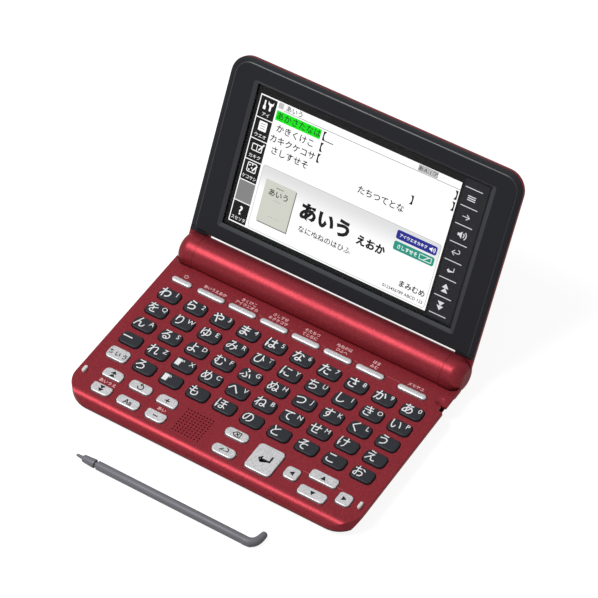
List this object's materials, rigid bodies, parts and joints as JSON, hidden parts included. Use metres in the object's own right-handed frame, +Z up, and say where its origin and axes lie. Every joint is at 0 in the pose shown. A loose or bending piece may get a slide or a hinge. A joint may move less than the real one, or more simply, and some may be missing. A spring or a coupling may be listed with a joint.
{
  "type": "electronic dictionary",
  "caption": "Clamshell pocket electronic dictionary: keyboard base with a hinge barrel, lid with a touch display, and a hooked stylus lying in front.",
  "frame": {"origin": "middle of the whole as pictured, lid open and stylus in front, on the table", "axes": "+X to the right for the user, +Y away from the user, +Z up"},
  "size_m": [0.148, 0.1704, 0.0938],
  "materials": {
    "red_case": "metallic paint, satin",
    "dark_plastic": "satin",
    "slate_keys": "satin",
    "silver_keys": "metallic paint",
    "grey_plastic": "satin",
    "rubber": "matt",
    "pale_rubber": "matt",
    "board": "lacquered",
    "cell": "printed sleeve",
    "steel": "plain",
    "aluminium": "plain",
    "glass": "polished",
    "display": "satin"
  },
  "bodies": {
    "base": {"base_top_cover": "red_case", "base_bottom_cover": "red_case", "barrel_cover": "red_case", "keypad_membrane": "rubber", "main_board": "board", "board_chips": "dark_plastic", "speaker": "dark_plastic", "battery_cells": "cell", "battery_contacts": "steel", "case_screws": "steel", "rubber_feet": "rubber", "lid_bumpers": "pale_rubber", "stylus_silo": "dark_plastic", "earphone_jack": "dark_plastic", "usb_port": "steel", "card_slot": "steel", "hinge_housings": "steel"},
    "lid": {"lid_back_cover": "red_case", "lid_bezel": "dark_plastic", "touch_glass": "glass", "display_panel": "display", "display_frame": "aluminium", "lid_board": "board", "hinge_shafts": "steel", "display_cable": "dark_plastic"},
    "battery_door": {"battery_cover": "red_case"},
    "stylus": {"stylus_shaft": "grey_plastic", "stylus_tip": "grey_plastic"},
    "keys_wa": {"keys_wa": "slate_keys"},
    "keys_ra": {"keys_ra": "slate_keys"},
    "keys_ya": {"keys_ya": "slate_keys"},
    "keys_ma": {"keys_ma": "slate_keys"},
    "keys_ha": {"keys_ha": "slate_keys"},
    "keys_na": {"keys_na": "slate_keys"},
    "keys_ta": {"keys_ta": "slate_keys"},
    "keys_sa": {"keys_sa": "slate_keys"},
    "keys_ka": {"keys_ka": "slate_keys"},
    "keys_a": {"keys_a": "slate_keys"},
    "power_key": {"power_key": "silver_keys"},
    "function_key_1": {"function_key_1": "silver_keys"},
    "function_key_2": {"function_key_2": "silver_keys"},
    "function_key_3": {"function_key_3": "silver_keys"},
    "function_key_4": {"function_key_4": "silver_keys"},
    "function_key_5": {"function_key_5": "silver_keys"},
    "function_key_6": {"function_key_6": "silver_keys"},
    "menu_key": {"menu_key": "silver_keys"},
    "small_letter_key": {"small_letter_key": "silver_keys"},
    "page_up_key": {"page_up_key": "silver_keys"},
    "page_down_key": {"page_down_key": "silver_keys"},
    "history_key": {"history_key": "silver_keys"},
    "text_size_key": {"text_size_key": "silver_keys"},
    "volume_up_key": {"volume_up_key": "silver_keys"},
    "volume_down_key": {"volume_down_key": "silver_keys"},
    "delete_key": {"delete_key": "silver_keys"},
    "back_key": {"back_key": "silver_keys"},
    "enter_key": {"enter_key": "silver_keys"},
    "left_key": {"left_key": "silver_keys"},
    "up_key": {"up_key": "silver_keys"},
    "down_key": {"down_key": "silver_keys"},
    "right_key": {"right_key": "silver_keys"}
  },
  "joints": [
    {"name": "lid_hinge", "type": "hinge", "parent": "base", "child": "lid", "pos_m": [0, 0.0342, 0.0108], "axis": [-1, 0, 0], "range_deg": [-119.6, 30.4]},
    {"name": "battery_cover_slide", "type": "slide", "parent": "base", "child": "battery_door", "axis": [0, 1, 0], "range_m": [0, 0.012]},
    {"name": "stylus_lift", "type": "slide", "parent": "base", "child": "stylus", "axis": [0, 0, 1], "range_m": [0, 0.06]},
    {"name": "keys_wa_press", "type": "slide", "parent": "base", "child": "keys_wa", "axis": [0, 0, -1], "range_m": [0, 0.0008], "stiffness_N_per_m": 1600, "springref_m": -0.0004},
    {"name": "keys_ra_press", "type": "slide", "parent": "base", "child": "keys_ra", "axis": [0, 0, -1], "range_m": [0, 0.0008], "stiffness_N_per_m": 2000, "springref_m": -0.0004},
    {"name": "keys_ya_press", "type": "slide", "parent": "base", "child": "keys_ya", "axis": [0, 0, -1], "range_m": [0, 0.0008], "stiffness_N_per_m": 2000, "springref_m": -0.0004},
    {"name": "keys_ma_press", "type": "slide", "parent": "base", "child": "keys_ma", "axis": [0, 0, -1], "range_m": [0, 0.0008], "stiffness_N_per_m": 2000, "springref_m": -0.0004},
    {"name": "keys_ha_press", "type": "slide", "parent": "base", "child": "keys_ha", "axis": [0, 0, -1], "range_m": [0, 0.0008], "stiffness_N_per_m": 2000, "springref_m": -0.0004},
    {"name": "keys_na_press", "type": "slide", "parent": "base", "child": "keys_na", "axis": [0, 0, -1], "range_m": [0, 0.0008], "stiffness_N_per_m": 2000, "springref_m": -0.0004},
    {"name": "keys_ta_press", "type": "slide", "parent": "base", "child": "keys_ta", "axis": [0, 0, -1], "range_m": [0, 0.0008], "stiffness_N_per_m": 2000, "springref_m": -0.0004},
    {"name": "keys_sa_press", "type": "slide", "parent": "base", "child": "keys_sa", "axis": [0, 0, -1], "range_m": [0, 0.0008], "stiffness_N_per_m": 2000, "springref_m": -0.0004},
    {"name": "keys_ka_press", "type": "slide", "parent": "base", "child": "keys_ka", "axis": [0, 0, -1], "range_m": [0, 0.0008], "stiffness_N_per_m": 2000, "springref_m": -0.0004},
    {"name": "keys_a_press", "type": "slide", "parent": "base", "child": "keys_a", "axis": [0, 0, -1], "range_m": [0, 0.0008], "stiffness_N_per_m": 2000, "springref_m": -0.0004},
    {"name": "power_key_press", "type": "slide", "parent": "base", "child": "power_key", "axis": [0, 0, -1], "range_m": [0, 0.0008], "stiffness_N_per_m": 400, "springref_m": -0.0004},
    {"name": "function_key_1_press", "type": "slide", "parent": "base", "child": "function_key_1", "axis": [0, 0, -1], "range_m": [0, 0.0008], "stiffness_N_per_m": 400, "springref_m": -0.0004},
    {"name": "function_key_2_press", "type": "slide", "parent": "base", "child": "function_key_2", "axis": [0, 0, -1], "range_m": [0, 0.0008], "stiffness_N_per_m": 400, "springref_m": -0.0004},
    {"name": "function_key_3_press", "type": "slide", "parent": "base", "child": "function_key_3", "axis": [0, 0, -1], "range_m": [0, 0.0008], "stiffness_N_per_m": 400, "springref_m": -0.0004},
    {"name": "function_key_4_press", "type": "slide", "parent": "base", "child": "function_key_4", "axis": [0, 0, -1], "range_m": [0, 0.0008], "stiffness_N_per_m": 400, "springref_m": -0.0004},
    {"name": "function_key_5_press", "type": "slide", "parent": "base", "child": "function_key_5", "axis": [0, 0, -1], "range_m": [0, 0.0008], "stiffness_N_per_m": 400, "springref_m": -0.0004},
    {"name": "function_key_6_press", "type": "slide", "parent": "base", "child": "function_key_6", "axis": [0, 0, -1], "range_m": [0, 0.0008], "stiffness_N_per_m": 400, "springref_m": -0.0004},
    {"name": "menu_key_press", "type": "slide", "parent": "base", "child": "menu_key", "axis": [0, 0, -1], "range_m": [0, 0.0008], "stiffness_N_per_m": 400, "springref_m": -0.0004},
    {"name": "small_letter_key_press", "type": "slide", "parent": "base", "child": "small_letter_key", "axis": [0, 0, -1], "range_m": [0, 0.0008], "stiffness_N_per_m": 400, "springref_m": -0.0004},
    {"name": "page_up_key_press", "type": "slide", "parent": "base", "child": "page_up_key", "axis": [0, 0, -1], "range_m": [0, 0.0008], "stiffness_N_per_m": 400, "springref_m": -0.0004},
    {"name": "page_down_key_press", "type": "slide", "parent": "base", "child": "page_down_key", "axis": [0, 0, -1], "range_m": [0, 0.0008], "stiffness_N_per_m": 400, "springref_m": -0.0004},
    {"name": "history_key_press", "type": "slide", "parent": "base", "child": "history_key", "axis": [0, 0, -1], "range_m": [0, 0.0008], "stiffness_N_per_m": 400, "springref_m": -0.0004},
    {"name": "text_size_key_press", "type": "slide", "parent": "base", "child": "text_size_key", "axis": [0, 0, -1], "range_m": [0, 0.0008], "stiffness_N_per_m": 400, "springref_m": -0.0004},
    {"name": "volume_up_key_press", "type": "slide", "parent": "base", "child": "volume_up_key", "axis": [0, 0, -1], "range_m": [0, 0.0008], "stiffness_N_per_m": 400, "springref_m": -0.0004},
    {"name": "volume_down_key_press", "type": "slide", "parent": "base", "child": "volume_down_key", "axis": [0, 0, -1], "range_m": [0, 0.0008], "stiffness_N_per_m": 400, "springref_m": -0.0004},
    {"name": "delete_key_press", "type": "slide", "parent": "base", "child": "delete_key", "axis": [0, 0, -1], "range_m": [0, 0.0008], "stiffness_N_per_m": 400, "springref_m": -0.0004},
    {"name": "back_key_press", "type": "slide", "parent": "base", "child": "back_key", "axis": [0, 0, -1], "range_m": [0, 0.0008], "stiffness_N_per_m": 400, "springref_m": -0.0004},
    {"name": "enter_key_press", "type": "slide", "parent": "base", "child": "enter_key", "axis": [0, 0, -1], "range_m": [0, 0.0008], "stiffness_N_per_m": 400, "springref_m": -0.0004},
    {"name": "left_key_press", "type": "slide", "parent": "base", "child": "left_key", "axis": [0, 0, -1], "range_m": [0, 0.0008], "stiffness_N_per_m": 400, "springref_m": -0.0004},
    {"name": "up_key_press", "type": "slide", "parent": "base", "child": "up_key", "axis": [0, 0, -1], "range_m": [0, 0.0008], "stiffness_N_per_m": 400, "springref_m": -0.0004},
    {"name": "down_key_press", "type": "slide", "parent": "base", "child": "down_key", "axis": [0, 0, -1], "range_m": [0, 0.0008], "stiffness_N_per_m": 400, "springref_m": -0.0004},
    {"name": "right_key_press", "type": "slide", "parent": "base", "child": "right_key", "axis": [0, 0, -1], "range_m": [0, 0.0008], "stiffness_N_per_m": 400, "springref_m": -0.0004}
  ]
}
